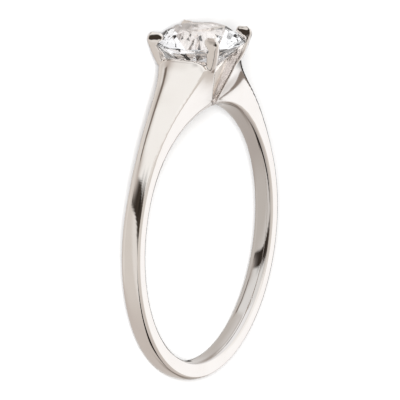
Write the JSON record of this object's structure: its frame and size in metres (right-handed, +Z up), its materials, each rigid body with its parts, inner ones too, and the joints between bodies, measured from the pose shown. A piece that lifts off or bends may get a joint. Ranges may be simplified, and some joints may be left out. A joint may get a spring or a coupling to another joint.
{
  "type": "solitaire engagement ring",
  "caption": "Solitaire ring lying on its side: slim polished band, tapered cathedral shoulders, open V-shaped head with claw prongs and a round brilliant stone.",
  "frame": {"origin": "centre of the finger hole", "axes": "the ring lies on its side at rest; -Y runs from the finger hole towards the stone, +X runs across the shoulders, and +Z is up, near the finger hole's axis, which leans about 5.9 degrees because the stone is wider than the band"},
  "size_m": [0.0194, 0.0234, 0.0058],
  "materials": {
    "polished_white_metal": "mirror-polished white precious metal",
    "clear_stone": "faceted colourless cut stone"
  },
  "bodies": {
    "root": {"ring_setting": "polished_white_metal", "center_stone": "clear_stone"}
  },
  "joints": []
}
